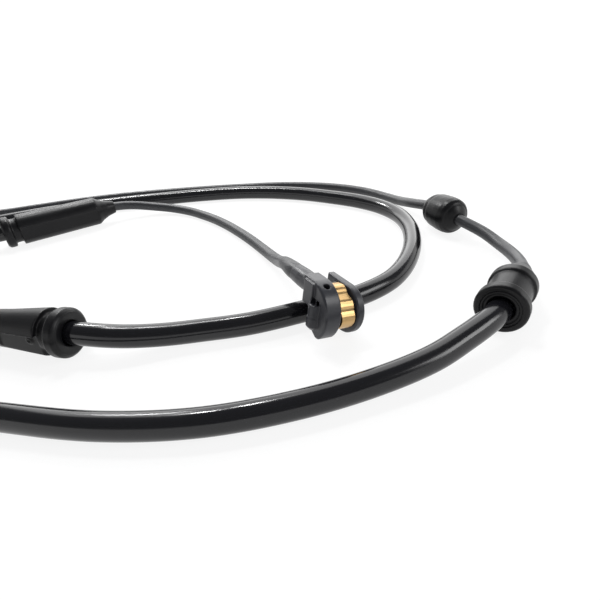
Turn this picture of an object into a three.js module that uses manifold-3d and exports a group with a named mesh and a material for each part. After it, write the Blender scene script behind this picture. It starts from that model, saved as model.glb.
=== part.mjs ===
// Brake pad wear sensor: a spool-shaped sensor head on a cable that lies in one loose coil.
// The cable leaves the head thin and enters a thicker protective hose at a long moulding.
// The hose runs through a bracket moulding to a double flange grommet, and the thin cable
// goes on from there through a bead grommet to a sealed two-way plug.
// Millimetres, +Z up. The origin is on the floor, under the middle of the sensor head.
// +X is the head's spool axis seen from above, and +Y is the way its cable leaves.

import * as THREE from "three";
import { mergeVertices } from "three/addons/utils/BufferGeometryUtils.js";
import Module from "manifold-3d";

const wasm = await Module();
wasm.setup();

// Clearances
const fitGap = 0.3;
const bendGap = 0.6;
const seatGap = 0.9;
const wireGap = 0.2;

// Cable and hose
const cableDiameter = 3.8;
const hoseDiameter = 6.0;
const coreDiameter = 1.3;
const conductorDiameter = 0.6;
const floorLift = 0.1;
const cordSides = 8;
const leadSteps = 20;
const hoseSteps = 48;
const tailSteps = 29;

// Sensor head, in its own frame: x along the spool, y towards the cable, z up
const headLean = THREE.MathUtils.degToRad(12);
const plateThickness = 4.5;
const grooveWidth = 4.6;
const flangeThickness = 2.3;
const plateRadius = 7.7;
const flangeRadius = 6.3;
const flangeMiddle = 7.43;
const plateLength = 12.6;
const plateBack = 10.5;
const flangeLength = 15.0;
const plateWaist = 7.9;
const plateHeel = 2.4;
const heelRound = 2.5;
const waistHeight = 8.4;
const heelHeight = 4.0;
const rimBevel = 0.35;
const neckLength = 11.5;
const neckFloor = 3.9;
const neckTop = 12.6;

// Cable collar of the head
const collarAxisX = 2.3;
const collarAxisZ = 12.7;
const collarRadius = 2.55;
const collarEndRadius = 2.4;
const cableClearance = 0.2;
const collarEnd = 18.5;
const collarStart = 8.6;
const cableSeat = 13.2;

// Wiring space inside the head
const cavityHeight = 2.4;
const wireHeight = 11.5;
const coreSpacing = 1.7;
const ferruleDiameter = 1.4;
const ferruleBore = 1.0;
const ferruleLength = 2.4;
const ferruleStart = 9.4;
const loopNear = 6.2;
const loopSpacing = 2.1;
const loopBend = 0.7;
const loopSkin = 0.8;

// Outer face of the head: shoulder, barrel with its top pocket, and the rim hole
const shoulderProud = 0.6;
const shoulderStart = 6.3;
const shoulderLow = 8.9;
const barrelX = 0.2;
const barrelY = 5.2;
const barrelRadius = 1.95;
const barrelWaistRadius = 1.8;
const barrelLow = 3.6;
const barrelMiddle = 7.1;
const barrelHigh = 10.3;
const barrelTaper = 1.0;
const pocketRadius = 1.45;
const pocketDepth = 1.6;
const pocketRib = 0.45;
const rimHoleRadius = 0.85;
const rimHoleDepth = 1.8;
const rimHoleX = 2.2;
const rimHoleY = 4.7;

// Brass retaining spring
const springThickness = 0.4;
const springWidth = 3.7;

// Bracket moulding, where the cable enters the hose
const bracketRadius = 6.45;
const bracketFlange = 3.3;
const bracketGroove = 2.7;
const bracketGrooveRadius = 4.9;
const bracketBodyRadius = 6.2;
const bracketTaper = 0.09;
const bracketKeyLength = 12.0;
const bracketBody = 17.0;
const bracketTail = 7.0;
const bracketTailRadius = 3.9;
const keyRecess = 0.6;
const keyTop = 1.9;
const recessRadius = 4.8;
const recessDepth = 1.8;
const nubRadius = 0.9;
const nubHeight = 0.4;

// Long moulding, where the cable enters the hose
const longRadius = 6.3;
const longBodyRadius = 6.2;
const longTaper = 0.01;
const longKeyLength = 31.0;
const longBody = 31.5;
const longTail = 7.5;
const longTailRadius = 2.6;
const longSeat = 12.0;

// Double flange grommet, where the cable leaves the hose
const grommetRadius = 6.4;
const grommetFlange = 3.1;
const grommetGroove = 8.0;
const grommetGrooveRadius = 5.4;
const grommetRearFlange = 3.2;
const grommetRearRadius = 6.0;
const grommetTaper = 5.6;
const grommetTaperRadius = 3.9;
const grommetSeat = 9.0;
const grommetRecessRadius = 4.8;
const grommetRecessDepth = 5.0;

// Bead grommet
const beadRadius = 6.45;
const beadLength = 15.4;
const beadGrooveWidth = 1.6;
const beadGrooveDepth = 0.9;
const beadGrooveAt = 2.6;

// Sealed two-way plug
const plugRadius = 7.5;
const plugLength = 34.0;
const plugRearRadius = 6.6;
const plugRearLength = 12.0;
const plugCavityRadius = 3.6;
const plugWall = 4.0;
const plugSocketDepth = 12.0;
const plugSocketRadius = 6.0;
const plugRibWidth = 2.4;
const plugRibHeight = 1.3;
const plugLatchLength = 9.0;
const plugLatchWidth = 5.0;
const plugLatchHeight = 2.0;
const sealPocketDepth = 5.0;
const sealPocketRadius = 5.0;
const capWall = 1.4;
const capLength = 7.0;
const capLipLength = 1.8;
const capTailLength = 4.0;
const capTailRadius = 3.6;
const socketSealWidth = 2.0;
const socketSealWall = 1.3;
const lockThickness = 1.6;
const bladeWidth = 1.5;
const bladeThickness = 0.8;
const bladeSpacing = 3.6;
const bladeReach = 8.0;
const bladeTail = 4.0;
const bladeBarrelDiameter = 2.0;

// Where the mouldings and the plug lie, seen from above, with the cable's heading in degrees
const longPlace = { x: -76.3, y: 127.2, heading: 186 };
const bracketPlace = { x: -57.3, y: 27.0, heading: -42 };
const grommetPlace = { x: 33.6, y: -25.5, heading: 26.4 };
const beadPlace = { x: 71.6, y: 31.6, heading: 82 };
const plugPlace = { x: -118.0, y: 174.0, heading: 192 };

// Hand-picked points of the three stretches, x, y and the height of the cable's middle
const cableFloor = cableDiameter / 2 + floorLift;
const hoseFloor = hoseDiameter / 2 + floorLift;
const leadPoints = [
  [-0.5, 18.5, 11.9],
  [2.0, 26.0, 8.6],
  [4.4, 34.5, 5.2],
  [6.2, 43.5, 2.9],
  [6.9, 53.5, 2.1],
  [6.9, 64.0, cableFloor],
  [6.3, 75.0, cableFloor],
  [5.3, 85.0, cableFloor],
  [3.6, 95.0, cableFloor],
  [1.4, 103.5, cableFloor],
  [-2.0, 113.0, 2.1],
  [-7.6, 121.5, 2.6],
  [-15.5, 128.0, 3.7],
  [-24.0, 131.2, 5.4],
];
const loopPoints = [
  [-93.1, 124.4, 4.7],
  [-107.1, 114.6, 3.3],
  [-114.3, 99.1, hoseFloor],
  [-112.8, 82.1, hoseFloor],
  [-103.9, 68.9, 3.6],
  [-92.5, 58.7, 5.2],
];
const hosePoints = [
  [-50.5, 21.8, 5.9],
  [-45.1, 19.2, 5.0],
  [-37.5, 16.6, 3.9],
  [-28.0, 13.4, 3.3],
  [-16.7, 9.4, hoseFloor],
  [-3.4, 6.6, hoseFloor],
  [8.1, 4.9, hoseFloor],
  [18.0, 4.7, hoseFloor],
  [26.6, 6.3, hoseFloor],
  [34.5, 10.1, hoseFloor],
  [43.5, 16.8, hoseFloor],
  [51.7, 25.2, hoseFloor],
  [59.0, 35.6, hoseFloor],
  [63.5, 47.0, hoseFloor],
  [64.3, 59.0, hoseFloor],
  [61.6, 71.0, hoseFloor],
  [56.0, 83.5, hoseFloor],
  [48.0, 97.5, hoseFloor],
  [37.5, 110.5, hoseFloor],
  [25.0, 121.5, hoseFloor],
  [10.0, 130.5, hoseFloor],
  [-7.0, 138.5, hoseFloor],
  [-26.0, 146.5, hoseFloor],
  [-46.0, 153.3, hoseFloor],
  [-66.0, 157.5, hoseFloor],
  [-93.0, 158.0, hoseFloor],
  [-120.0, 148.0, hoseFloor],
  [-138.5, 126.5, hoseFloor],
  [-144.0, 99.0, hoseFloor],
  [-136.5, 72.5, hoseFloor],
  [-117.0, 47.5, hoseFloor],
  [-93.5, 25.5, hoseFloor],
  [-74.5, 8.6, hoseFloor],
  [-56.0, -6.6, hoseFloor],
  [-38.5, -16.8, hoseFloor],
  [-20.0, -23.2, hoseFloor],
  [-3.0, -26.6, 3.3],
  [10.5, -28.0, 4.1],
  [20.5, -27.5, 5.1],
  [27.5, -26.8, 5.9],
  [32.2, -25.8, 6.3],
];
const tailPoints = [
  [59.8, -11.0, 5.1],
  [65.6, -3.8, 4.0],
  [69.4, 4.2, 3.7],
  [70.9, 12.2, 4.8],
  [73.6, 50.5, 4.7],
  [75.4, 60.0, 2.9],
  [75.9, 70.5, 2.1],
  [74.4, 82.0, cableFloor],
  [70.2, 93.5, cableFloor],
  [63.5, 104.5, cableFloor],
  [54.5, 115.0, cableFloor],
  [43.5, 124.5, cableFloor],
  [31.0, 133.0, cableFloor],
  [17.0, 142.0, cableFloor],
  [2.0, 150.5, cableFloor],
  [-13.0, 158.5, cableFloor],
  [-29.0, 165.5, cableFloor],
  [-46.0, 171.0, cableFloor],
  [-64.0, 175.0, cableFloor],
  [-82.0, 177.3, 2.6],
  [-96.0, 177.3, 5.6],
];

// Sides of round pieces
const roundSides = 44;
const smallSides = 24;

// Materials
const finish = (color, roughness, metalness) =>
  new THREE.MeshStandardMaterial({ color, roughness, metalness });
const headPlastic = finish(0x4b4b52, 0.5, 0);
const blackRubber = finish(0x18181a, 0.6, 0);
const cableJacket = finish(0x0c0c0e, 0.2, 0);
const plugPlastic = finish(0x1d1d20, 0.45, 0);
const brass = finish(0xd8b063, 0.3, 1);
const copper = finish(0xb87345, 0.35, 1);
const tinned = finish(0xc9cacc, 0.3, 1);
const silicone = finish(0xb5532a, 0.6, 0);
const coreInsulation = finish(0x8a2f28, 0.5, 0);

// Solids: a closed mesh becomes a solid for cutting and joining, and a mesh again after it
function solid(geometry) {
  const bare = geometry.clone();
  bare.deleteAttribute("normal");
  bare.deleteAttribute("uv");
  const merged = mergeVertices(bare, 1e-4);
  return new wasm.Manifold(
    new wasm.Mesh({
      numProp: 3,
      vertProperties: merged.attributes.position.array,
      triVerts: new Uint32Array(merged.index.array),
    }),
  );
}

function surface(made) {
  const mesh = made.getMesh();
  const geometry = new THREE.BufferGeometry();
  geometry.setAttribute("position", new THREE.BufferAttribute(mesh.vertProperties, 3));
  geometry.setIndex(new THREE.BufferAttribute(mesh.triVerts, 1));
  geometry.computeVertexNormals();
  return geometry;
}

const join = (first, ...rest) => rest.reduce((sum, piece) => sum.add(piece), first);
const cut = (body, ...tools) => tools.reduce((left, tool) => left.subtract(tool), body);

function piece(name, made, material) {
  const mesh = new THREE.Mesh(made.isBufferGeometry ? made : surface(made), material);
  mesh.name = name;
  return mesh;
}

// A box given by its lowest and highest corners
function block(low, high) {
  const size = high.map((value, axis) => value - low[axis]);
  const middle = high.map((value, axis) => (value + low[axis]) / 2);
  return solid(new THREE.BoxGeometry(...size).translate(...middle));
}

// A round piece along +X from a profile of [distance along X, radius] points
function turned(profile, sides = roundSides) {
  const points = profile.map(([along, radius]) => new THREE.Vector2(radius, along));
  return new THREE.LatheGeometry(points, sides).rotateZ(-Math.PI / 2);
}

function rod(from, to, radius, sides = smallSides) {
  return solid(turned([[from, 0], [from, radius], [to, radius], [to, 0]], sides));
}

// A round rod between any two points
function pin(from, to, radius, sides = smallSides) {
  const start = new THREE.Vector3(...from);
  const axis = new THREE.Vector3(...to).sub(start);
  const turn = new THREE.Quaternion().setFromUnitVectors(
    new THREE.Vector3(1, 0, 0),
    axis.clone().normalize(),
  );
  const profile = [[0, 0], [0, radius], [axis.length(), radius], [axis.length(), 0]];
  const geometry = turned(profile, sides).applyQuaternion(turn);
  return solid(geometry.translate(start.x, start.y, start.z));
}

// An outline drawn in the head's y-z plane, made solid from one x to another
function slab(outline, fromX, toX, bevel = 0) {
  const geometry = new THREE.ExtrudeGeometry(outline, {
    depth: toX - fromX - 2 * bevel,
    bevelEnabled: bevel > 0,
    bevelSize: bevel,
    bevelOffset: -bevel,
    bevelThickness: bevel,
    bevelSegments: 1,
    curveSegments: 28,
  });
  const turn = new THREE.Matrix4().makeBasis(
    new THREE.Vector3(0, 1, 0),
    new THREE.Vector3(0, 0, 1),
    new THREE.Vector3(1, 0, 0),
  );
  return solid(geometry.translate(0, 0, fromX + bevel).applyMatrix4(turn));
}

// A plain tube with flat ends along a curve
function cord(curve, diameter, steps, sides = cordSides) {
  const section = new THREE.Shape();
  for (let side = 0; side < sides; side += 1) {
    const angle = ((side + 0.5) / sides) * 2 * Math.PI;
    const at = new THREE.Vector2(Math.cos(angle), Math.sin(angle)).multiplyScalar(diameter / 2);
    if (side === 0) section.moveTo(at.x, at.y);
    else section.lineTo(at.x, at.y);
  }
  return new THREE.ExtrudeGeometry(section, {
    steps,
    extrudePath: curve,
    bevelEnabled: false,
  });
}

const spline = (points) =>
  new THREE.CatmullRomCurve3(
    points.map((point) => (point.isVector3 ? point : new THREE.Vector3(...point))),
    false,
    "centripetal",
  );

// Sensor head
const grooveStart = plateThickness;
const grooveEnd = plateThickness + grooveWidth;
const spoolWidth = grooveEnd + flangeThickness;
const plateTop = 2 * plateRadius;
const plateHeelHeight = plateRadius - Math.sqrt(plateRadius ** 2 - (plateRadius - plateHeel) ** 2);
const loopFar = loopNear + loopSpacing;
const coreX = [collarAxisX - coreSpacing / 2, collarAxisX + coreSpacing / 2];

// Round towards the disc, straight on top, cut back under the cable, with a round heel
function plateOutline() {
  const outline = new THREE.Shape();
  const heelAngle = Math.acos((plateRadius - plateHeel) / plateRadius);
  outline.absarc(plateRadius, plateRadius, plateRadius, -Math.PI + heelAngle, Math.PI / 2, true);
  outline.lineTo(plateLength - 0.8, plateTop);
  outline.lineTo(plateLength, plateTop - 0.9);
  outline.lineTo(plateBack, collarAxisZ - 0.8);
  outline.lineTo(plateBack, waistHeight + 0.6);
  outline.lineTo(plateBack - 0.6, waistHeight);
  outline.lineTo(plateWaist + 0.9, waistHeight - 0.3);
  outline.lineTo(plateWaist, waistHeight - 1.2);
  outline.lineTo(plateWaist, heelHeight);
  const heelStart = new THREE.Vector2(plateHeel + heelRound, plateHeelHeight + 0.25);
  outline.lineTo(heelStart.x, heelStart.y);
  outline.quadraticCurveTo(plateHeel + 1.0, plateHeelHeight - 0.75, plateHeel, plateHeelHeight);
  return outline;
}

function flangeOutline() {
  const outline = new THREE.Shape();
  const tailBottom = flangeMiddle + 0.4 * flangeRadius;
  outline.absarc(flangeRadius, flangeMiddle, flangeRadius, -Math.PI / 2 + 0.1, Math.PI / 2, true);
  outline.lineTo(flangeLength, flangeMiddle + flangeRadius);
  outline.lineTo(flangeLength, tailBottom);
  return outline;
}

// The spring's outer line in the head's y-z plane, round the near side of the neck
function springLine() {
  const clear = fitGap + springThickness;
  const top = neckTop + clear;
  const bottom = neckFloor - clear;
  const points = [
    [9.2, top],
    [6.6, top + 0.25],
    [4.9, 12.3],
    [3.9, 11.9],
    [2.5, 11.3],
    [1.6, 10.2],
    [1.25, 9.1],
    [0.7, 8.5],
    [0.3, 7.4],
    [0.45, 6.3],
    [1.3, 4.9],
    [2.9, 3.7],
    [5.2, bottom + 0.05],
    [8.2, bottom],
  ];
  return new THREE.SplineCurve(points.map(([y, z]) => new THREE.Vector2(y, z)));
}

// The same line moved inwards by some depth
function springOffset(depth, steps = 36) {
  const line = springLine();
  return line.getSpacedPoints(steps).map((point, at) => {
    const tangent = line.getTangentAt(at / steps);
    return new THREE.Vector2(-tangent.y, tangent.x).multiplyScalar(depth).add(point);
  });
}

function neckOutline() {
  const outline = new THREE.Shape(springOffset(springThickness + fitGap, 24));
  outline.lineTo(plateWaist + 1, neckFloor);
  outline.lineTo(neckLength, waistHeight);
  outline.lineTo(neckLength, neckTop);
  return outline;
}

function barrel() {
  const profile = [
    [barrelLow, 0],
    [barrelLow, barrelRadius - barrelTaper],
    [barrelLow + barrelTaper, barrelRadius],
    [barrelMiddle, barrelRadius],
    [barrelMiddle, barrelWaistRadius],
    [barrelHigh, barrelWaistRadius],
    [barrelHigh, 0],
  ];
  const upright = turned(profile, 32).rotateY(-Math.PI / 2);
  return solid(upright.translate(barrelX, barrelY, 0));
}

function barrelPocket() {
  const floor = barrelHigh - pocketDepth;
  const hole = pin([barrelX, barrelY, floor], [barrelX, barrelY, barrelHigh + 1], pocketRadius);
  const rib = new THREE.BoxGeometry(4 * pocketRadius, pocketRib, 4 * pocketDepth)
    .rotateZ(Math.PI / 4)
    .translate(barrelX, barrelY, barrelHigh);
  return hole.subtract(solid(rib));
}

function collar() {
  const profile = [
    [collarStart, 0],
    [collarStart, collarRadius],
    [collarEnd - 3.2, collarRadius],
    [collarEnd, collarEndRadius],
    [collarEnd, 0],
  ];
  return solid(turned(profile, 32).rotateZ(Math.PI / 2).translate(collarAxisX, 0, collarAxisZ));
}

function rimHole() {
  const inward = new THREE.Vector3(0, plateRadius - rimHoleY, 0);
  inward.z = -Math.sqrt(plateRadius ** 2 - inward.y ** 2);
  inward.normalize();
  const middle = new THREE.Vector3(rimHoleX, plateRadius, plateRadius);
  const from = middle.clone().addScaledVector(inward, -plateRadius - 1);
  const to = middle.clone().addScaledVector(inward, -plateRadius + rimHoleDepth);
  return pin(from.toArray(), to.toArray(), rimHoleRadius, 20);
}

// The sense wire: in from one ferrule, along the neck into the flange, across and back
function loopCurve(margin = 0) {
  const deep = spoolWidth - loopSkin - conductorDiameter / 2;
  const end = ferruleStart + ferruleLength / 2 - fitGap + margin;
  const corners = [
    [coreX[0], end],
    [coreX[0], loopNear],
    [deep, loopNear],
    [deep, loopFar],
    [coreX[1], loopFar],
    [coreX[1], end],
  ].map(([x, y]) => new THREE.Vector3(x, y, wireHeight));
  const path = new THREE.CurvePath();
  let start = corners[0];
  for (let at = 1; at < corners.length - 1; at += 1) {
    const corner = corners[at];
    const before = corners[at - 1].clone().sub(corner).setLength(loopBend).add(corner);
    const after = corners[at + 1].clone().sub(corner).setLength(loopBend).add(corner);
    path.add(new THREE.LineCurve3(start, before));
    path.add(new THREE.QuadraticBezierCurve3(before, corner, after));
    start = after;
  }
  path.add(new THREE.LineCurve3(start, corners.at(-1)));
  return path;
}

function sensorHousing() {
  const shoulder = block(
    [-shoulderProud, shoulderStart, shoulderLow],
    [plateThickness, plateBack, collarAxisZ + collarRadius - 0.4],
  );
  const body = join(
    slab(plateOutline(), 0, plateThickness, rimBevel),
    slab(neckOutline(), plateThickness - 1, grooveEnd + 1),
    slab(flangeOutline(), grooveEnd, spoolWidth, rimBevel),
    shoulder,
    collar(),
    barrel(),
  );
  const sideRoom = ferruleDiameter / 2 + fitGap;
  const cavity = block(
    [coreX[0] - sideRoom, ferruleStart - fitGap, wireHeight - cavityHeight / 2],
    [coreX[1] + sideRoom, cableSeat, wireHeight + cavityHeight / 2],
  );
  const cableBore = rod(cableSeat - fitGap, collarEnd + 1, cableDiameter / 2 + cableClearance)
    .rotate([0, 0, 90])
    .translate([collarAxisX, 0, collarAxisZ]);
  const wireBore = solid(cord(loopCurve(0.1), conductorDiameter + 2 * wireGap, 60));
  return cut(body, barrelPocket(), rimHole(), cavity, cableBore, wireBore);
}

// A strip that follows the neck round its near side, with two humps that grip the pad's slot
function retainingSpring() {
  const inside = springOffset(springThickness).reverse();
  const outline = new THREE.Shape([...springOffset(0), ...inside]);
  const middle = (grooveStart + grooveEnd) / 2;
  return slab(outline, middle - springWidth / 2, middle + springWidth / 2);
}

// Insulated core with its bared end, along -Y from the cable into the ferrule
function core(reach, bared) {
  const insulation = reach - bared;
  const profile = [
    [0, 0],
    [0, coreDiameter / 2],
    [insulation, coreDiameter / 2],
    [insulation, conductorDiameter / 2],
    [reach, conductorDiameter / 2],
    [reach, 0],
  ];
  return turned(profile, 10);
}

function ferrule(length = ferruleLength) {
  const outer = rod(0, length, ferruleDiameter / 2, 12);
  return outer.subtract(rod(-1, length + 1, ferruleBore / 2, 12));
}

function buildHead() {
  const head = new THREE.Group();
  head.rotation.y = headLean;
  head.add(piece("sensor_housing", sensorHousing(), headPlastic));
  head.add(piece("retaining_spring", retainingSpring(), brass));
  head.add(piece("sense_wire", cord(loopCurve(), conductorDiameter, 60), copper));
  const coreStart = cableSeat - fitGap;
  const coreReach = coreStart - (ferruleStart + ferruleLength / 2 + fitGap);
  const bared = ferruleLength / 2;
  coreX.forEach((x, side) => {
    const letter = "ab"[side];
    const strand = piece(`head_core_${letter}`, core(coreReach, bared), coreInsulation);
    strand.rotation.z = -Math.PI / 2;
    strand.position.set(x, coreStart, wireHeight);
    const crimp = piece(`splice_ferrule_${letter}`, ferrule(), tinned);
    crimp.rotation.z = Math.PI / 2;
    crimp.position.set(x, ferruleStart, wireHeight);
    head.add(strand, crimp);
  });
  const box = new THREE.Box3().setFromObject(head, true);
  const middle = box.getCenter(new THREE.Vector3());
  head.position.set(-middle.x, -middle.y, -box.min.z);
  return head;
}

// A moulding with a flange, a groove and a tapered body with keyed sides.
// Its hose end is at local x = 0, and the body runs towards -X.
function keyedMoulding({ radius, bodyRadius, taper, keyLength, body, tail, tailRadius }) {
  const grooveAt = -bracketFlange;
  const bodyAt = grooveAt - bracketGroove;
  const keyAt = bodyAt - keyLength;
  const tailAt = bodyAt - body;
  const end = tailAt - tail;
  const farRadius = bodyRadius - taper * keyLength;
  const profile = [
    [end, 0],
    [end, tailRadius],
    [tailAt - 0.55 * tail, tailRadius + 0.25 * (farRadius - tailRadius)],
    [tailAt - 0.2 * tail, tailRadius + 0.6 * (farRadius - tailRadius)],
    [tailAt, farRadius - 0.3],
    [keyAt, farRadius],
    [bodyAt, bodyRadius],
    [bodyAt, bracketGrooveRadius],
    [grooveAt, bracketGrooveRadius],
    [grooveAt, radius - 0.4],
    [grooveAt + 0.4, radius],
    [-0.8, radius],
    [0, radius - 0.8],
    [0, 0],
  ];
  const flat = farRadius - keyRecess;
  const sides = [-1, 1].map((side) =>
    block(
      [keyAt, side < 0 ? -radius - 1 : flat, -radius - 1],
      [bodyAt, side < 0 ? -flat : radius + 1, keyTop],
    ),
  );
  const recess = solid(
    turned([
      [-recessDepth, 0],
      [-recessDepth, recessRadius - 0.9],
      [0.01, recessRadius],
      [1, recessRadius],
      [1, 0],
    ]),
  );
  const nub = pin([bodyAt - 2.6, -flat + 1, 0.2], [bodyAt - 2.6, -flat - nubHeight, 0.2], nubRadius);
  const nubHollow = pin([bodyAt - 2.6, -flat, 0.2], [bodyAt - 2.6, -flat - 1, 0.2], nubRadius / 2);
  return cut(join(cut(solid(turned(profile)), ...sides), nub), recess, nubHollow);
}

const bracketEnd = -bracketFlange - bracketGroove - bracketBody - bracketTail;
const longEnd = -bracketFlange - bracketGroove - longBody - longTail;

// The hose passes right through the bracket moulding
function bracketMoulding() {
  const moulded = keyedMoulding({
    radius: bracketRadius,
    bodyRadius: bracketBodyRadius,
    taper: bracketTaper,
    keyLength: bracketKeyLength,
    body: bracketBody,
    tail: bracketTail,
    tailRadius: bracketTailRadius,
  });
  return cut(moulded, rod(bracketEnd - 1, 1, hoseDiameter / 2 + bendGap));
}

// The hose ends in a seat inside the long moulding, and the thin cable enters at its far end
function longMoulding() {
  const moulded = keyedMoulding({
    radius: longRadius,
    bodyRadius: longBodyRadius,
    taper: longTaper,
    keyLength: longKeyLength,
    body: longBody,
    tail: longTail,
    tailRadius: longTailRadius,
  });
  return cut(
    moulded,
    rod(-longSeat, 1, hoseDiameter / 2 + bendGap),
    rod(longEnd - 1, 1, cableDiameter / 2 + fitGap),
  );
}

// Two flanges with a groove between them; its hose end is at local x = 0
function doubleFlangeGrommet() {
  const grooveAt = grommetFlange;
  const rearAt = grooveAt + grommetGroove;
  const taperAt = rearAt + grommetRearFlange;
  const end = taperAt + grommetTaper;
  const profile = [
    [0, 0],
    [0, grommetRadius - 0.5],
    [0.5, grommetRadius],
    [grooveAt - 0.3, grommetRadius],
    [grooveAt, grommetRadius - 0.3],
    [grooveAt, grommetGrooveRadius],
    [rearAt, grommetGrooveRadius],
    [rearAt, grommetRearRadius - 0.4],
    [rearAt + 0.4, grommetRearRadius],
    [taperAt - 0.3, grommetRearRadius],
    [taperAt + 0.3, grommetRearRadius - 0.3],
    [end - 0.5, grommetTaperRadius],
    [end, grommetTaperRadius - 0.5],
    [end, 0],
  ];
  const recess = solid(
    turned([
      [-1, 0],
      [-1, grommetRecessRadius],
      [0.01, grommetRecessRadius],
      [grommetRecessDepth, hoseDiameter / 2 + seatGap],
      [grommetRecessDepth, 0],
    ]),
  );
  return cut(
    solid(turned(profile)),
    recess,
    rod(-1, grommetSeat, hoseDiameter / 2 + seatGap),
    rod(-1, end + 1, cableDiameter / 2 + fitGap),
  );
}

// A bead, blunt at the grommet's side and tapered at the other, with one shallow groove.
// It is centred on local x = 0.
function beadGrommet() {
  const half = beadLength / 2;
  const profile = [
    [-half, 0],
    [-half, beadRadius - 1.9],
    [-half + 0.5, beadRadius - 0.95],
    [-half + 1.5, beadRadius - 0.3],
    [-half + 3.2, beadRadius],
    [-2, beadRadius],
    [1.5, beadRadius - 0.25],
    [4, beadRadius - 0.75],
    [half - 2.4, beadRadius - 1.5],
    [half - 0.9, beadRadius - 2.5],
    [half, beadRadius - 3.3],
    [half, 0],
  ];
  const ringCutter = cut(
    rod(beadGrooveAt, beadGrooveAt + beadGrooveWidth, beadRadius + 1, 28),
    rod(beadGrooveAt - 1, beadGrooveAt + beadGrooveWidth + 1, beadRadius - beadGrooveDepth, 28),
  );
  const bore = rod(-half - 1, half + 1, cableDiameter / 2 + bendGap);
  return cut(solid(turned(profile)), ringCutter, bore);
}

// The plug lies along local +X: its cable end is at x = 0 and its mouth at x = plugLength
const plugSealEnd = sealPocketDepth;
const plugWebStart = plugLength - plugSocketDepth - plugWall;
const plugSocketStart = plugLength - plugSocketDepth;
const cableStopInPlug = plugSealEnd + 2;

function plugHousing() {
  const profile = [
    [0, 0],
    [0, plugRearRadius],
    [plugRearLength, plugRearRadius],
    [plugRearLength + 1, plugRadius],
    [plugLength - 0.6, plugRadius],
    [plugLength, plugRadius - 0.6],
    [plugLength, 0],
  ];
  const ribs = [0, 1, 2].map((index) => {
    const rib = block(
      [plugRearLength + 3, -plugRibWidth / 2, plugRadius - 1.5],
      [plugLength - 3, plugRibWidth / 2, plugRadius + plugRibHeight],
    );
    return rib.rotate([60 * (index - 1), 0, 0]);
  });
  const latch = block(
    [plugLength - plugLatchLength, -plugLatchWidth / 2, plugRadius - 1],
    [plugLength - 2, plugLatchWidth / 2, plugRadius + plugLatchHeight],
  );
  const bladeSlots = [-1, 1].map((side) => {
    const middle = (side * bladeSpacing) / 2;
    const halfWidth = bladeWidth / 2 + wireGap;
    const halfThickness = bladeThickness / 2 + wireGap;
    return block(
      [plugWebStart - 1, middle - halfThickness, -halfWidth],
      [plugSocketStart + 1, middle + halfThickness, halfWidth],
    );
  });
  return cut(
    join(solid(turned(profile)), ...ribs, latch),
    rod(-1, plugSealEnd, sealPocketRadius, 24),
    rod(plugSealEnd - 1, plugWebStart, plugCavityRadius, 20),
    rod(plugSocketStart, plugLength + 1, plugSocketRadius, 28),
    ...bladeSlots,
  );
}

function ring(from, to, outerRadius, innerRadius, sides = 24) {
  return rod(from, to, outerRadius, sides).subtract(rod(from - 1, to + 1, innerRadius, sides));
}

function rearSeal() {
  const from = fitGap;
  const to = plugSealEnd - fitGap;
  const outer = sealPocketRadius - fitGap;
  const ribWidth = (to - from) / 5;
  const profile = [[from, 0]];
  for (let band = 0; band < 5; band += 1) {
    const radius = band % 2 ? outer - 0.5 : outer;
    profile.push([from + band * ribWidth, radius], [from + (band + 1) * ribWidth, radius]);
  }
  profile.push([to, 0]);
  return solid(turned(profile)).subtract(
    rod(-1, to + 1, cableDiameter / 2 + fitGap),
  );
}

function rearCap() {
  const inner = plugRearRadius + fitGap;
  const outer = inner + capWall;
  const back = -fitGap - capWall;
  const profile = [
    [back - capTailLength, 0],
    [back - capTailLength, capTailRadius - 0.4],
    [back, capTailRadius],
    [back, outer - 0.6],
    [back + 0.6, outer],
    [capLength, outer],
    [capLength, 0],
  ];
  const hollow = rod(-fitGap, capLength + 1, inner, 28);
  const bore = rod(back - capTailLength - 1, 1, cableDiameter / 2 + fitGap);
  const lip = ring(capLength - capLipLength, capLength, outer + 0.5, outer - 0.5, 28);
  return cut(join(solid(turned(profile)), lip), hollow, bore);
}

function bladeLock() {
  const from = plugSocketStart + fitGap;
  const disc = rod(from, from + lockThickness, plugSocketRadius - socketSealWall - 2 * fitGap, 24);
  const slots = [-1, 1].map((side) => {
    const middle = (side * bladeSpacing) / 2;
    return block(
      [from - 1, middle - bladeThickness / 2 - wireGap, -bladeWidth / 2 - wireGap],
      [from + lockThickness + 1, middle + bladeThickness / 2 + wireGap, bladeWidth / 2 + wireGap],
    );
  });
  return cut(disc, ...slots);
}

// A flat blade in the socket with a round crimp barrel behind the web
function blade(side) {
  const middle = (side * bladeSpacing) / 2;
  const flat = block(
    [plugWebStart - fitGap - 0.5, middle - bladeThickness / 2, -bladeWidth / 2],
    [plugSocketStart + bladeReach, middle + bladeThickness / 2, bladeWidth / 2],
  );
  const tip = plugSocketStart + bladeReach;
  const point = block([tip - 1, middle - 2, -2], [tip + 1, middle + 2, 2]).subtract(
    pin([tip - 2, middle, 0], [tip + 1, middle, 0], bladeWidth / 2 + 0.1, 12),
  );
  const barrelFrom = plugWebStart - fitGap - bladeTail;
  const barrel = rod(barrelFrom, plugWebStart - fitGap, bladeBarrelDiameter / 2, 12)
    .translate([0, middle, 0]);
  const socket = rod(barrelFrom - 1, barrelFrom + 1.8, conductorDiameter / 2 + wireGap, 10)
    .translate([0, middle, 0]);
  return cut(join(flat, barrel), point, socket);
}

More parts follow.
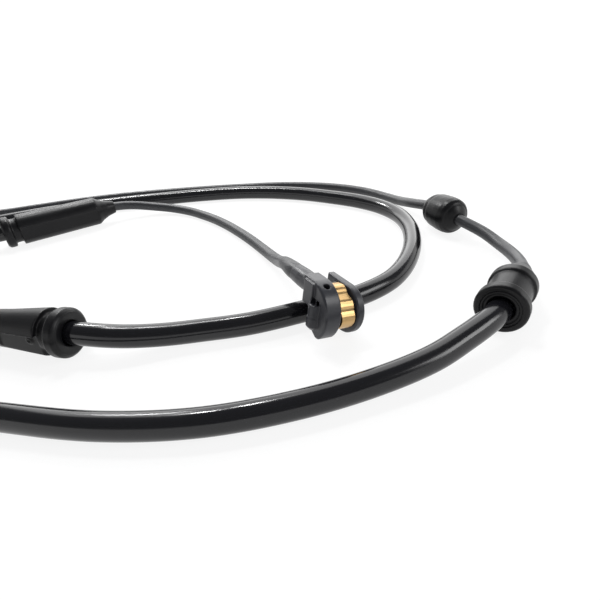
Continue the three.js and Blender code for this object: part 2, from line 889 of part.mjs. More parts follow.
// Core from the end of the jacket to a blade's barrel, spreading to the blade's spacing
function plugCore(side) {
  const from = cableStopInPlug + fitGap;
  const to = plugWebStart - fitGap - bladeTail + 1.4;
  const near = (side * 1.8) / 2;
  const far = (side * bladeSpacing) / 2;
  const curve = spline([
    [from, near, 0],
    [from + 1, near, 0],
    [to - 2.9, far, 0],
    [to - 1.9, far, 0],
  ]);
  const jacket = solid(cord(curve, coreDiameter, 8));
  const conductor = rod(to - 2.2, to, conductorDiameter / 2, 8).translate([0, far, 0]);
  return jacket.add(conductor);
}

function placed(group, place, height) {
  group.position.set(place.x, place.y, height);
  group.rotation.z = THREE.MathUtils.degToRad(place.heading);
  group.updateMatrixWorld(true);
  return group;
}

function buildMouldings() {
  const long = new THREE.Group();
  long.add(piece("long_moulding", longMoulding(), blackRubber));
  const bracket = new THREE.Group();
  bracket.add(piece("bracket_moulding", bracketMoulding(), blackRubber));
  const grommet = new THREE.Group();
  grommet.add(piece("double_flange_grommet", doubleFlangeGrommet(), blackRubber));
  const bead = new THREE.Group();
  bead.add(piece("bead_grommet", beadGrommet(), blackRubber));
  return {
    long: placed(long, longPlace, longRadius),
    bracket: placed(bracket, bracketPlace, bracketRadius),
    grommet: placed(grommet, grommetPlace, grommetRadius),
    bead: placed(bead, beadPlace, beadRadius),
  };
}

function buildPlug() {
  const plug = new THREE.Group();
  const sealFrom = plugSocketStart + fitGap;
  plug.add(
    piece("plug_housing", plugHousing(), plugPlastic),
    piece("plug_rear_cap", rearCap(), plugPlastic),
    piece("plug_rear_seal", rearSeal(), silicone),
    piece(
      "plug_socket_seal",
      ring(
        sealFrom,
        sealFrom + socketSealWidth,
        plugSocketRadius - fitGap,
        plugSocketRadius - fitGap - socketSealWall,
        28,
      ),
      silicone,
    ),
    piece("plug_blade_lock", bladeLock(), plugPlastic),
    piece("plug_blade_a", blade(-1), tinned),
    piece("plug_blade_b", blade(1), tinned),
    piece("plug_core_a", plugCore(-1), coreInsulation),
    piece("plug_core_b", plugCore(1), coreInsulation),
  );
  return placed(plug, plugPlace, plugRearRadius + fitGap + capWall + 0.5);
}

// Points on a group's own axis, in the part's frame
const onAxis = (group, ...distances) =>
  distances.map((along) => group.localToWorld(new THREE.Vector3(along, 0, 0)));

const head = buildHead();
head.updateMatrixWorld(true);
const { long, bracket, grommet, bead } = buildMouldings();
const plug = buildPlug();

const grommetEnd = grommetFlange + grommetGroove + grommetRearFlange + grommetTaper;
const collarMouth = (beyond) =>
  head.localToWorld(new THREE.Vector3(collarAxisX, collarEnd + beyond, collarAxisZ));

const leadCurve = spline([
  collarMouth(cableSeat - collarEnd + fitGap),
  collarMouth(-2),
  collarMouth(0),
  collarMouth(2.5),
  ...leadPoints,
  ...onAxis(long, longEnd, longEnd + 12, -longSeat - fitGap),
]);
const hoseCurve = spline([
  ...onAxis(long, -longSeat + fitGap, 0, 4),
  ...loopPoints,
  ...onAxis(bracket, bracketEnd - 2, bracketEnd, 0, 2.5),
  ...hosePoints,
  ...onAxis(grommet, 3, grommetSeat - fitGap),
]);
const tailCurve = spline([
  ...onAxis(grommet, grommetSeat + fitGap, grommetEnd, grommetEnd + 3),
  ...tailPoints.slice(0, 4),
  ...onAxis(bead, -beadLength / 2, 0, beadLength / 2),
  ...tailPoints.slice(4),
  ...onAxis(plug, -capTailLength - 4, -capTailLength, cableStopInPlug),
]);

const sensor = new THREE.Group();
sensor.add(
  head,
  long,
  bracket,
  grommet,
  bead,
  plug,
  piece("lead_cable", cord(leadCurve, cableDiameter, leadSteps), cableJacket),
  piece("protective_hose", cord(hoseCurve, hoseDiameter, hoseSteps, 10), cableJacket),
  piece("tail_cable", cord(tailCurve, cableDiameter, tailSteps), cableJacket),
);

export default sensor;
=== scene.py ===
# %% [markdown]
# # A brake pad wear sensor on its coiled cable
#
# The sensor is a small grooved head that clips into a slot in a brake pad. When the pad wears
# thin, the disc grinds through a wire in the head and a lamp lights on the dash. The head sits
# on a long cable, which lies here in one loose coil, as it would when it comes out of its bag.
#
# The lesson goes from the outside in: first the camera, then the long curves that carry the
# whole picture, then the moulded pieces on them, then the surfaces, and last the light.

# %% Tools and the CAD frame
import math

import bpy
from mathutils import Matrix, Vector
from mathutils.geometry import interpolate_bezier


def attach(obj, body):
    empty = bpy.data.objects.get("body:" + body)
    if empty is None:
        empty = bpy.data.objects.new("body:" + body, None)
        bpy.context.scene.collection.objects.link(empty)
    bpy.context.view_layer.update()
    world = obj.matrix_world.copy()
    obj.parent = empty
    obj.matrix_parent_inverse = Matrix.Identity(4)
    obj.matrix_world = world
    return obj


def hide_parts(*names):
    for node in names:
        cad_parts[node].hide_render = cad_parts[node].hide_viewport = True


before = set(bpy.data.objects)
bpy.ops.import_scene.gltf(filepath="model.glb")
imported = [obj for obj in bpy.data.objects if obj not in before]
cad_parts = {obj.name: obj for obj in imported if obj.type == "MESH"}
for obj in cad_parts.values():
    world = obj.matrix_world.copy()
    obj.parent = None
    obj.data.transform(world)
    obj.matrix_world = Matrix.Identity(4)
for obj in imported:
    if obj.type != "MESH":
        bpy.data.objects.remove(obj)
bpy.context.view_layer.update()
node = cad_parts
MM = 0.001
print(len(node), "CAD nodes loaded")

# %% [markdown]
# ## The camera
#
# The photo was taken from close by with a wide lens: the near strand of hose is drawn almost
# three times as thick as the far one. The cable is taken as 3.8 mm thick and the hose as 6 mm, so
# the drawn thickness gives the distance at each place. From those distances come the camera's
# height, its downward tilt and a roll of five degrees. A camera could also be placed by eye, but
# every later choice is seen through it, so it is set first and from measurements.

# %% Camera from the measured cable thicknesses
PHOTO_SIDE = 600
FOCAL_PX = 433
SENSOR_MM = 36
ROLL = math.radians(5)
camera_at = Vector((-46.67, -80.72, 64.47)) * MM
ahead = Vector((0.384, 0.770, -0.509)).normalized()
level_right = ahead.cross(Vector((0, 0, 1))).normalized()
level_up = level_right.cross(ahead)
right = level_right * math.cos(ROLL) - level_up * math.sin(ROLL)
up = level_up * math.cos(ROLL) + level_right * math.sin(ROLL)

camera_data = bpy.data.cameras.new("camera")
camera_data.sensor_width = SENSOR_MM
camera_data.lens = SENSOR_MM * FOCAL_PX / PHOTO_SIDE
camera_data.clip_start = 0.005
camera_data.clip_end = 20
camera = bpy.data.objects.new("camera", camera_data)
bpy.context.collection.objects.link(camera)
camera.matrix_world = Matrix(
    (
        (right.x, up.x, -ahead.x, camera_at.x),
        (right.y, up.y, -ahead.y, camera_at.y),
        (right.z, up.z, -ahead.z, camera_at.z),
        (0, 0, 0, 1),
    )
)
bpy.context.scene.camera = camera
bpy.context.scene.view_settings.view_transform = "Standard"
print("lens", round(camera_data.lens, 1), "mm, camera", round(camera_at.z / MM), "mm up")

# %% [markdown]
# ## The cable as three curves
#
# A cable is best kept as the line of its middle. The line can then be corrected point by point
# until it lies on the photo, and its length can be read off at any time. The points are listed
# as x, y and the height of the cable's middle, in millimetres. The curve between them
# is a centripetal Catmull-Rom spline, which makes no small loops where points are unevenly spaced.
# Blender's own curve maths is Bezier, so each stretch is turned into its exact Bezier form: its
# two ends, and a handle a third of the way along the direction that the line has at each end.


# %% A smooth line through points
def bezier_stretches(points):
    ends = [2 * points[0] - points[1], *points, 2 * points[-1] - points[-2]]
    for before, start, stop, after in zip(ends, ends[1:], ends[2:], ends[3:]):
        reach = [math.sqrt((b - a).length) for a, b in ((before, start), (start, stop), (stop, after))]
        out = (start - before) / reach[0] - (stop - before) / (reach[0] + reach[1])
        out = (out + (stop - start) / reach[1]) * reach[1]
        into = (stop - start) / reach[1] - (after - start) / (reach[1] + reach[2])
        into = (into + (after - stop) / reach[2]) * reach[1]
        yield start, start + out / 3, stop - into / 3, stop


def smooth_line(points_mm, steps=24):
    points = [Vector(p) * MM for p in points_mm]
    line = [points[0]]
    for stretch in bezier_stretches(points):
        line += interpolate_bezier(*stretch, steps + 1)[1:]
    return line


def length_of(line):
    return sum((b - a).length for a, b in zip(line, line[1:]))


corner = smooth_line([(0, 0, 0), (10, 0, 0), (10, 10, 0)])
print("a corner of two 10 mm stretches, smoothed, is", round(length_of(corner) / MM, 1), "mm long")

# %% [markdown]
# A tube is a ring of points carried along that line. Each ring takes its direction from the line
# and its turn from the ring before it, so the tube never twists. A curve with a bevel would look
# the same, but here every ring has its own radius, so that the same few lines of code also make a
# sleeve that narrows along a cable.


# %% Tubes along a line
def new_piece(name, points, faces):
    mesh = bpy.data.meshes.new(name)
    mesh.from_pydata(points, [], faces)
    mesh.polygons.foreach_set("use_smooth", [True] * len(mesh.polygons))
    made = bpy.data.objects.new(name, mesh)
    bpy.context.collection.objects.link(made)
    return made


def tube(name, line, radii, sides=32):
    across = (line[1] - line[0]).orthogonal()
    points, faces = [], []
    for at, (middle, radius) in enumerate(zip(line, radii)):
        onward = (line[min(at + 1, len(line) - 1)] - line[max(at - 1, 0)]).normalized()
        across = (across - onward * across.dot(onward)).normalized()
        other = onward.cross(across)
        for side in range(sides):
            turn = 2 * math.pi * side / sides
            points.append(middle + (across * math.cos(turn) + other * math.sin(turn)) * radius)
    for at in range(len(line) - 1):
        for side in range(sides):
            here, after = at * sides + side, at * sides + (side + 1) % sides
            faces.append((here, after, after + sides, here + sides))
    faces.append(tuple(reversed(range(sides))))
    faces.append(tuple(range(len(points) - sides, len(points))))
    return new_piece(name, points, faces)


# %% [markdown]
# ## Where the mouldings hold the cable
#
# The mouldings sit on straight stretches of cable. Each is written as a place in millimetres and a
# heading in degrees, and the cable's line gets points on the moulding's own axis, so that it runs
# through the bore squarely. The places are those of the CAD solids.

# %% Places and headings of the mouldings
CABLE_WIDE, HOSE_WIDE = 3.8, 6.0
LONG = (-76.3, 127.2, 6.3, 186)
BRACKET = (-57.3, 27.0, 6.45, -42)
GROMMET = (33.6, -25.5, 6.4, 26.4)
BEAD = (71.6, 31.6, 6.45, 82)
PLUG = (-118.0, 174.0, 8.8, 192)
COLLAR = (-1.7, 9.25, 13.14, 90)
GROMMET_LONG = 19.9


def on_axis(place, *distances):
    x, y, z, heading = place
    turn = math.radians(heading)
    return [(x + d * math.cos(turn), y + d * math.sin(turn), z) for d in distances]


print("the grommet's far end is at", [round(value, 1) for value in on_axis(GROMMET, GROMMET_LONG)[0]])

# %% [markdown]
# ## The lead
#
# The thin lead comes out of the head's collar, sinks to the floor and swings round the back into
# the long moulding. Where a cable rests on the floor its middle is a tenth of a millimetre more
# than its radius up, and it rises only where a moulding holds it up.

# %% Points of the lead
lead_points = [
    *on_axis(COLLAR, -5, -2, 0, 2.5),
    (-0.5, 18.5, 11.9),
    (2.0, 26.0, 8.6),
    (4.4, 34.5, 5.2),
    (6.2, 43.5, 2.9),
    (6.9, 53.5, 2.1),
    (6.9, 64.0, 2.0),
    (6.3, 75.0, 2.0),
    (5.3, 85.0, 2.0),
    (3.6, 95.0, 2.0),
    (1.4, 103.5, 2.0),
    (-2.0, 113.0, 2.1),
    (-7.6, 121.5, 2.6),
    (-15.5, 128.0, 3.7),
    (-24.0, 131.2, 5.4),
    *on_axis(LONG, -45, -33, -12.3),
]
print(len(lead_points), "points on the lead")

# %% [markdown]
# ## The hose
#
# The thick hose starts in the long moulding, turns back through the bracket moulding, goes once
# round the whole coil and ends in the double flange grommet. Its points lie close together beside
# the mouldings, where the hose climbs, and further apart where it runs freely.

# %% Points of the hose
hose_points = [
    *on_axis(LONG, -11.7, 0, 4),
    (-93.1, 124.4, 4.7),
    (-107.1, 114.6, 3.3),
    (-114.3, 99.1, 3.1),
    (-112.8, 82.1, 3.1),
    (-103.9, 68.9, 3.6),
    (-92.5, 58.7, 5.2),
    *on_axis(BRACKET, -32, -30, 0, 2.5),
    (-50.5, 21.8, 5.9),
    (-45.1, 19.2, 5.0),
    (-37.5, 16.6, 3.9),
    (-28.0, 13.4, 3.3),
    (-16.7, 9.4, 3.1),
    (-3.4, 6.6, 3.1),
    (8.1, 4.9, 3.1),
    (18.0, 4.7, 3.1),
    (26.6, 6.3, 3.1),
    (34.5, 10.1, 3.1),
    (43.5, 16.8, 3.1),
    (51.7, 25.2, 3.1),
    (59.0, 35.6, 3.1),
    (63.5, 47.0, 3.1),
    (64.3, 59.0, 3.1),
    (61.6, 71.0, 3.1),
    (56.0, 83.5, 3.1),
    (48.0, 97.5, 3.1),
    (37.5, 110.5, 3.1),
    (25.0, 121.5, 3.1),
    (10.0, 130.5, 3.1),
    (-7.0, 138.5, 3.1),
    (-26.0, 146.5, 3.1),
    (-46.0, 153.3, 3.1),
    (-66.0, 157.5, 3.1),
    (-93.0, 158.0, 3.1),
    (-120.0, 148.0, 3.1),
    (-138.5, 126.5, 3.1),
    (-144.0, 99.0, 3.1),
    (-136.5, 72.5, 3.1),
    (-117.0, 47.5, 3.1),
    (-93.5, 25.5, 3.1),
    (-74.5, 8.6, 3.1),
    (-56.0, -6.6, 3.1),
    (-38.5, -16.8, 3.1),
    (-20.0, -23.2, 3.1),
    (-3.0, -26.6, 3.3),
    (10.5, -28.0, 4.1),
    (20.5, -27.5, 5.1),
    (27.5, -26.8, 5.9),
    (32.2, -25.8, 6.3),
    *on_axis(GROMMET, 3, 8.7),
]
print(len(hose_points), "points on the hose")

# %% [markdown]
# ## The tail
#
# The thin tail leaves the grommet, climbs through the bead and runs round the back to the plug. The
# tightest bends of the whole cable are here, beside the grommet and at the plug: their radius is
# about three and a half times the cable's thickness.

# %% Points of the tail
tail_points = [
    *on_axis(GROMMET, 9.3, GROMMET_LONG, GROMMET_LONG + 3),
    (59.8, -11.0, 5.1),
    (65.6, -3.8, 4.0),
    (69.4, 4.2, 3.7),
    (70.9, 12.2, 4.8),
    *on_axis(BEAD, -7.7, 0, 7.7),
    (73.6, 50.5, 4.7),
    (75.4, 60.0, 2.9),
    (75.9, 70.5, 2.1),
    (74.4, 82.0, 2.0),
    (70.2, 93.5, 2.0),
    (63.5, 104.5, 2.0),
    (54.5, 115.0, 2.0),
    (43.5, 124.5, 2.0),
    (31.0, 133.0, 2.0),
    (17.0, 142.0, 2.0),
    (2.0, 150.5, 2.0),
    (-13.0, 158.5, 2.0),
    (-29.0, 165.5, 2.0),
    (-46.0, 171.0, 2.0),
    (-64.0, 175.0, 2.0),
    (-82.0, 177.3, 2.6),
    (-96.0, 177.3, 5.6),
    *on_axis(PLUG, -8, -4, 7),
]
print(len(tail_points), "points on the tail")

# %% [markdown]
# With the three lines known, the tubes follow at once. Printing their lengths is a good test: a
# cable of this kind is usually between one and one and a half metres long.

# %% Three tubes
lead_line, hose_line, tail_line = (smooth_line(p) for p in (lead_points, hose_points, tail_points))
lead = tube("lead", lead_line, [CABLE_WIDE / 2 * MM] * len(lead_line))
hose = tube("hose", hose_line, [HOSE_WIDE / 2 * MM] * len(hose_line))
tail = tube("tail", tail_line, [CABLE_WIDE / 2 * MM] * len(tail_line))
for made, line in ((lead, lead_line), (hose, hose_line), (tail, tail_line)):
    print(made.name, "is", round(length_of(line) / MM), "mm long")

# %% [markdown]
# ## Lips that grip the cable
#
# A rubber moulding grips its cable with a soft lip, which hides the gap that a hard bore would
# show. A lip is a ring turned about the moulding's axis. Its outline runs once round the ring's
# section, as distances along the axis and radii in millimetres. Extruded and scaled edge loops
# would do as well, but an outline is easily corrected against the picture.


# %% Turned lips
def turned(name, origin, along, outline, sides=72):
    level = along.orthogonal().normalized()
    upright = along.cross(level)
    points, faces = [], []
    for side in range(sides):
        turn = 2 * math.pi * side / sides
        out = level * math.cos(turn) + upright * math.sin(turn)
        points += [(Vector(origin) + along * d + out * r) * MM for d, r in outline]
    many = len(outline)
    for side in range(sides):
        here, after = side * many, (side + 1) % sides * many
        for k in range(many):
            faces.append((here + k, here + (k + 1) % many, after + (k + 1) % many, after + k))
    return new_piece(name, points, faces)


def lip(name, place, outline):
    heading = math.radians(place[3])
    return turned(name, place[:3], Vector((math.cos(heading), math.sin(heading), 0)), outline)


bracket_outline = [(-0.6, 5.7), (0.05, 5.6), (0.12, 5.2), (0.12, 4.6), (0.1, 4.1)]
bracket_outline += [(0.04, 3.7), (-0.12, 3.35), (-0.5, 3.08), (-1.4, 2.95), (-2.2, 5.2)]
grommet_outline = [(0.5, 5.4), (-0.03, 5.3), (0.06, 5.0), (0.3, 4.85), (0.34, 4.55), (0.2, 4.4)]
grommet_outline += [(0.24, 4.2), (0.55, 4.1), (0.5, 3.95), (0.38, 3.8), (0.4, 3.5), (0.5, 3.3)]
grommet_outline += [(0.75, 3.06), (1.4, 2.9), (3.2, 3.5), (1.6, 4.6)]
bead_outline = [(-6.0, 5.6), (-6.9, 5.25), (-7.6, 4.75), (-8.2, 4.05), (-8.7, 3.25)]
bead_outline += [(-9.1, 2.5), (-9.3, 2.0), (-9.2, 1.8), (-6.0, 1.8)]
bracket_lip = lip("bracket_lip", BRACKET, bracket_outline)
grommet_lip = lip("grommet_lip", GROMMET, grommet_outline)
bead_lip = lip("bead_lip", BEAD, bead_outline)
lips = [bracket_lip, grommet_lip, bead_lip]
print(len(lips), "lips")

# %% [markdown]
# ## Sleeves that narrow onto the cable
#
# Where the thin cable leaves the head and the grommet, the moulding narrows down onto it. A cone
# would stand off the cable as soon as it bends, so each sleeve is a tube on the cable's own line:
# wide at the moulding and as thin as the cable at its end. Its radii are given every 1.5 mm along
# the line, from the place where it starts.

# %% Two sleeves
SLEEVE_STEP = 1.5
RINGS_PER_STEP = 6


def sleeve(name, line, starts_at, radii_mm):
    reach = [0]
    for a, b in zip(line, line[1:]):
        reach.append(reach[-1] + (b - a).length / MM)
    used, radii = [], []
    for ring in range(RINGS_PER_STEP * (len(radii_mm) - 1) + 1):
        want = starts_at + ring * SLEEVE_STEP / RINGS_PER_STEP
        at = next(k for k, far in enumerate(reach) if far >= want)
        used.append(line[at - 1].lerp(line[at], (want - reach[at - 1]) / (reach[at] - reach[at - 1])))
        low = min(ring // RINGS_PER_STEP, len(radii_mm) - 2)
        part = ring / RINGS_PER_STEP - low
        radii.append((radii_mm[low] * (1 - part) + radii_mm[low + 1] * part) * MM)
    return tube(name, used, radii, sides=48)


LEAD_SLEEVE_STARTS, TAIL_SLEEVE_STARTS = 4.8, 6.0
lead_radii = [2.33, 2.33, 2.3, 2.22, 2.13, 2.05, 1.98, 1.93, 1.91, 1.9]
tail_radii = [4.9, 4.6, 4.25, 3.75, 3.15, 2.65, 2.3, 2.1, 1.97, 1.9]
lead_sleeve = sleeve("lead_sleeve", lead_line, LEAD_SLEEVE_STARTS, lead_radii)
tail_sleeve = sleeve("tail_sleeve", tail_line, TAIL_SLEEVE_STARTS, tail_radii)
sleeves = [lead_sleeve, tail_sleeve]
print(len(sleeves), "sleeves")

# %% [markdown]
# ## The floor of the head's pocket
#
# The head's barrel has a small pocket. In the picture some light reaches its floor, so the CAD
# solid's deep pocket is made shallower with a disc, whose rim turns up a little against the wall.
# The disc leans with the barrel. Filling the hole in the solid's own mesh would be the other way,
# but a piece of its own leaves the solid alone.

# %% The pocket's floor, and where the small pieces belong
POCKET = (-4.29, -4.05, 11.08)
BARREL_LEANS = math.radians(12)
upwards = Vector((math.sin(BARREL_LEANS), 0, math.cos(BARREL_LEANS)))
pocket_outline = [(0, 0.02), (0, 1.15), (0.06, 1.32), (0.2, 1.5), (-0.6, 1.5), (-0.6, 0.02)]
pocket_floor = turned("pocket_floor", POCKET, upwards, pocket_outline)
trim = {"head_plastic": [pocket_floor], "moulding_rubber": lips, "cable_jacket": sleeves}
for slot, pieces in trim.items():
    for made in pieces:
        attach(made, "root")
print(sum(len(pieces) for pieces in trim.values()), "small pieces placed")

# %% [markdown]
# ## Three cords
#
# Each stretch's tube, at its real length, takes the place of the CAD solid that it stands for,
# which is hidden, and hangs from the root. The stretch leaves one piece and ends in the next: head
# to long moulding, long moulding to grommet, grommet to plug. Its row also lists its width, the
# piece it ends in and the pieces on it.


plug_pieces = [node[name] for name in sorted(node) if name.startswith("plug_")]
grommets = [node["double_flange_grommet"], node["bead_grommet"], grommet_lip, bead_lip, tail_sleeve]
stretches = [
    (lead, lead_line, "lead_cable", CABLE_WIDE, "fitting", [node["long_moulding"], lead_sleeve]),
    (hose, hose_line, "protective_hose", HOSE_WIDE, "fitting", [node["bracket_moulding"], bracket_lip]),
    (tail, tail_line, "tail_cable", CABLE_WIDE, "plug", grommets + plug_pieces),
]
for made, line, stands_for, wide, ends_in, carries in stretches:
    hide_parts(stands_for)
    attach(made, "root")
print(len(stretches), "cords declared")

# %% [markdown]
# ## Smooth moulded pieces
#
# Rubber and plastic mouldings have no sharp edges, and their curved faces show no flats. The CAD
# solids are exact but made of flat facets, so each is wrapped in a fine voxel mesh and smoothed.
# A bevel would need edges picked one by one, while this rounds every edge alike, by a few tenths
# of a millimetre. The voxels are finest on the head, which is nearest and has the smallest detail.
# Both steps are modifiers, so the solid underneath stays as it was.

# %% Round off the moulded pieces
SMOOTHING_ROUNDS, SMOOTHING_SHARE = 6, 0.5
VOXELS_MM = {
    "sensor_housing": 0.13,
    "long_moulding": 0.25,
    "bracket_moulding": 0.22,
    "double_flange_grommet": 0.18,
    "bead_grommet": 0.18,
    "plug_housing": 0.27,
    "plug_rear_cap": 0.22,
}
for name, voxel_mm in VOXELS_MM.items():
    wrap = node[name].modifiers.new("wrap", "REMESH")
    wrap.mode = "VOXEL"
    wrap.voxel_size = voxel_mm * MM
    wrap.use_smooth_shade = True
    relax = node[name].modifiers.new("relax", "SMOOTH")
    relax.factor = SMOOTHING_SHARE
    relax.iterations = SMOOTHING_ROUNDS
print(len(VOXELS_MM), "pieces rounded off")

# %% [markdown]
# ## Surfaces
#
# One builder makes every surface. It starts from a plain principled shader and adds three things
# that real pieces have: a slow change in gloss, a fine grain that breaks up the highlights, and
# now and then a speck of dust. All of them read the piece's own coordinates, so they stay put
# when the piece moves. The first is a wide noise that shifts the roughness a little either way.

# %% A slow change in gloss
GLOSS_PATCHES = 90
GLOSS_CHANGE = 0.05


def new_node(tree, kind, inputs, operation=None):
    made = tree.nodes.new(kind)
    if operation:
        made.operation = operation
    for socket, value in inputs.items():
        made.inputs[socket].default_value = value
    return made


def changing_gloss(tree, place, roughness):
    slow = new_node(tree, "ShaderNodeTexNoise", {"Scale": GLOSS_PATCHES, "Detail": 4})
    noise_range = {"From Min": 0.3, "From Max": 0.7}
    gloss_range = {"To Min": roughness - GLOSS_CHANGE, "To Max": roughness + GLOSS_CHANGE}
    gloss = new_node(tree, "ShaderNodeMapRange", {**noise_range, **gloss_range})
    tree.links.new(place, slow.inputs["Vector"])
    tree.links.new(slow.outputs["Fac"], gloss.inputs["Value"])
    return gloss.outputs["Result"]


print("patches of gloss are about", round(1 / MM / GLOSS_PATCHES), "mm wide")

# %% [markdown]
# The grain is a much finer noise that tilts the surface by a hair. Real displacement would need
# millions of faces for it, and a bump looks the same at this size.

# %% A fine grain
GRAIN_REACH = 0.5 * MM


def fine_grain(tree, place, grain, depth):
    fine = new_node(tree, "ShaderNodeTexNoise", {"Scale": grain, "Detail": 3})
    bump = new_node(tree, "ShaderNodeBump", {"Strength": depth, "Distance": GRAIN_REACH})
    tree.links.new(place, fine.inputs["Vector"])
    tree.links.new(fine.outputs["Fac"], bump.inputs["Height"])
    return bump.outputs["Normal"]


print("the grain reaches", round(GRAIN_REACH / MM, 1), "mm at full strength")

# %% [markdown]
# Black rubber shows every speck of dust. Cells are scattered over the piece, and the middle of a
# few of them, picked by the cell's own random colour, is painted grey. Modelled specks would cost
# far more faces and look no better.

# %% Specks of dust
DUST_CELLS = 150
SPECK_REACH = 0.035
DUST_GREY = (0.35, 0.35, 0.36, 1)


def dusty_colour(tree, place, colour, share):
    cells = new_node(tree, "ShaderNodeTexVoronoi", {"Scale": DUST_CELLS})
    near = new_node(tree, "ShaderNodeMath", {1: SPECK_REACH}, "LESS_THAN")
    few = new_node(tree, "ShaderNodeMath", {1: share}, "LESS_THAN")
    split = new_node(tree, "ShaderNodeSeparateColor", {})
    both = new_node(tree, "ShaderNodeMath", {}, "MULTIPLY")
    mix = tree.nodes.new("ShaderNodeMix")
    mix.data_type = "RGBA"
    mix.inputs["A"].default_value = (*colour, 1)
    mix.inputs["B"].default_value = DUST_GREY
    tree.links.new(place, cells.inputs["Vector"])
    tree.links.new(cells.outputs["Distance"], near.inputs[0])
    tree.links.new(cells.outputs["Color"], split.inputs["Color"])
    tree.links.new(split.outputs["Red"], few.inputs[0])
    tree.links.new(near.outputs["Value"], both.inputs[0])
    tree.links.new(few.outputs["Value"], both.inputs[1])
    tree.links.new(both.outputs["Value"], mix.inputs["Factor"])
    return mix.outputs["Result"]


print("cells of dust are about", round(1 / MM / DUST_CELLS), "mm apart")

# %% [markdown]
# The hose's jacket is the glossiest piece and mirrors the whole room, while the thin cable, the
# rubber and the plastics are duller and a little lighter. The picture shows this best on the far
# side, where the thin cable is plainly grey and the hose beside it black and white.

# %% Ten surfaces
def surface(name, colour, roughness, metallic=0.0, grain=400, grain_depth=0.02, mirror=0.5, dust=0.0):
    made = bpy.data.materials.new(name)
    made.use_nodes = True
    tree = made.node_tree
    shader = tree.nodes["Principled BSDF"]
    shader.inputs["Base Color"].default_value = (*colour, 1)
    shader.inputs["Metallic"].default_value = metallic
    shader.inputs["Specular IOR Level"].default_value = mirror
    place = tree.nodes.new("ShaderNodeTexCoord").outputs["Object"]
    tree.links.new(changing_gloss(tree, place, roughness), shader.inputs["Roughness"])
    tree.links.new(fine_grain(tree, place, grain, grain_depth), shader.inputs["Normal"])
    if dust:
        tree.links.new(dusty_colour(tree, place, colour, dust), shader.inputs["Base Color"])
    return made


jacket = surface("jacket", (0.007, 0.007, 0.009), 0.17, grain=500, grain_depth=0.012, dust=0.12)
rubber = surface("rubber", (0.006, 0.006, 0.007), 0.36, grain=900, mirror=0.24, dust=0.15)
head_plastic = surface("head_plastic", (0.034, 0.035, 0.042), 0.36, grain=700, grain_depth=0.07, mirror=0.45)
thin_jacket = surface("thin_jacket", (0.030, 0.031, 0.035), 0.42, grain=500, dust=0.1)
plug_plastic = surface("plug_plastic", (0.014, 0.014, 0.016), 0.38, grain=700, grain_depth=0.08)
brass = surface("brass", (0.55, 0.36, 0.16), 0.34, metallic=1.0, grain=600, grain_depth=0.01)
copper = surface("copper", (0.72, 0.35, 0.2), 0.3, metallic=1.0)
tin = surface("tin", (0.7, 0.7, 0.72), 0.28, metallic=1.0)
silicone = surface("silicone", (0.42, 0.12, 0.04), 0.5)
insulation = surface("insulation", (0.25, 0.04, 0.03), 0.45)
print("ten surfaces, from", jacket.name, "to", insulation.name)

# %% [markdown]
# Each piece then wears one surface. The hidden pieces, such as the crimps in the head and the
# seals in the plug, are dressed too, so that the model can be cut open later.

# %% Which piece wears what
on_nodes = {
    rubber: ["long_moulding", "bracket_moulding", "double_flange_grommet", "bead_grommet"],
    head_plastic: ["sensor_housing"],
    plug_plastic: ["plug_housing", "plug_rear_cap", "plug_blade_lock"],
    brass: ["retaining_spring"],
    copper: ["sense_wire"],
    tin: ["splice_ferrule_a", "splice_ferrule_b", "plug_blade_a", "plug_blade_b"],
    silicone: ["plug_rear_seal", "plug_socket_seal"],
    insulation: ["head_core_a", "head_core_b", "plug_core_a", "plug_core_b"],
}
on_made_pieces = {
    jacket: [hose],
    thin_jacket: [lead, tail, *sleeves],
    rubber: lips,
    head_plastic: [pocket_floor],
}


def dress(material, pieces):
    for piece in pieces:
        piece.data.materials.clear()
        piece.data.materials.append(material)


for material, names in on_nodes.items():
    dress(material, [node[name] for name in names])
for material, pieces in on_made_pieces.items():
    dress(material, pieces)
dressed = sum(len(group) for worn in (on_nodes, on_made_pieces) for group in worn.values())
print(dressed, "pieces dressed")

# %% [markdown]
# ## The floor
#
# The photo is lit by soft lamps over a white table. The table matters as much as the lamps: the
# glossy hose mirrors it along its lower half, which is why a black hose looks grey there. A flat
# plane would do for the shadow, but this floor also rises to a low wall all round, so that the
# cable mirrors white where it looks to the side.

# %% Floor with a low wall
FIRST_RING, FLAT_RADIUS, WALL_STARTS, WALL_CURVE = 0.2, 0.8, 1.6, 0.5
FLOOR_RADIUS, WALL_HIGH = WALL_STARTS + WALL_CURVE, 0.8


def bowl(name, profile, sides=96):
    turns = [2 * math.pi * side / sides for side in range(sides)]
    points = [(0, 0, profile[0][1])]
    for radius, high in profile:
        points += [(radius * math.cos(turn), radius * math.sin(turn), high) for turn in turns]
    faces = [(0, 1 + side, 1 + (side + 1) % sides) for side in range(sides)]
    for at in range(len(profile) - 1):
        low, high = 1 + at * sides, 1 + (at + 1) * sides
        for side in range(sides):
            after = (side + 1) % sides
            faces.append((low + side, high + side, high + after, low + after))
    return new_piece(name, points, faces)


curve = []
for degrees in range(0, 91, 10):
    turn = math.radians(degrees)
    curve.append((WALL_STARTS + WALL_CURVE * math.sin(turn), WALL_CURVE - WALL_CURVE * math.cos(turn)))
floor = bowl("floor", [(FIRST_RING, 0), (FLAT_RADIUS, 0), *curve, (FLOOR_RADIUS, WALL_HIGH)])
print("floor is", round(2 * FLOOR_RADIUS, 1), "m across")

# %% [markdown]
# Seen by the camera and in mirrors, the floor is lifted most of the way to white and keeps only a
# soft shadow. Further out, where no shadow falls, it is lifted all the way. To every other ray it
# stays a matt white table, so that it lights the cable from below as a real one would. Editing the
# picture afterwards would whiten it too, but not what the hose mirrors.

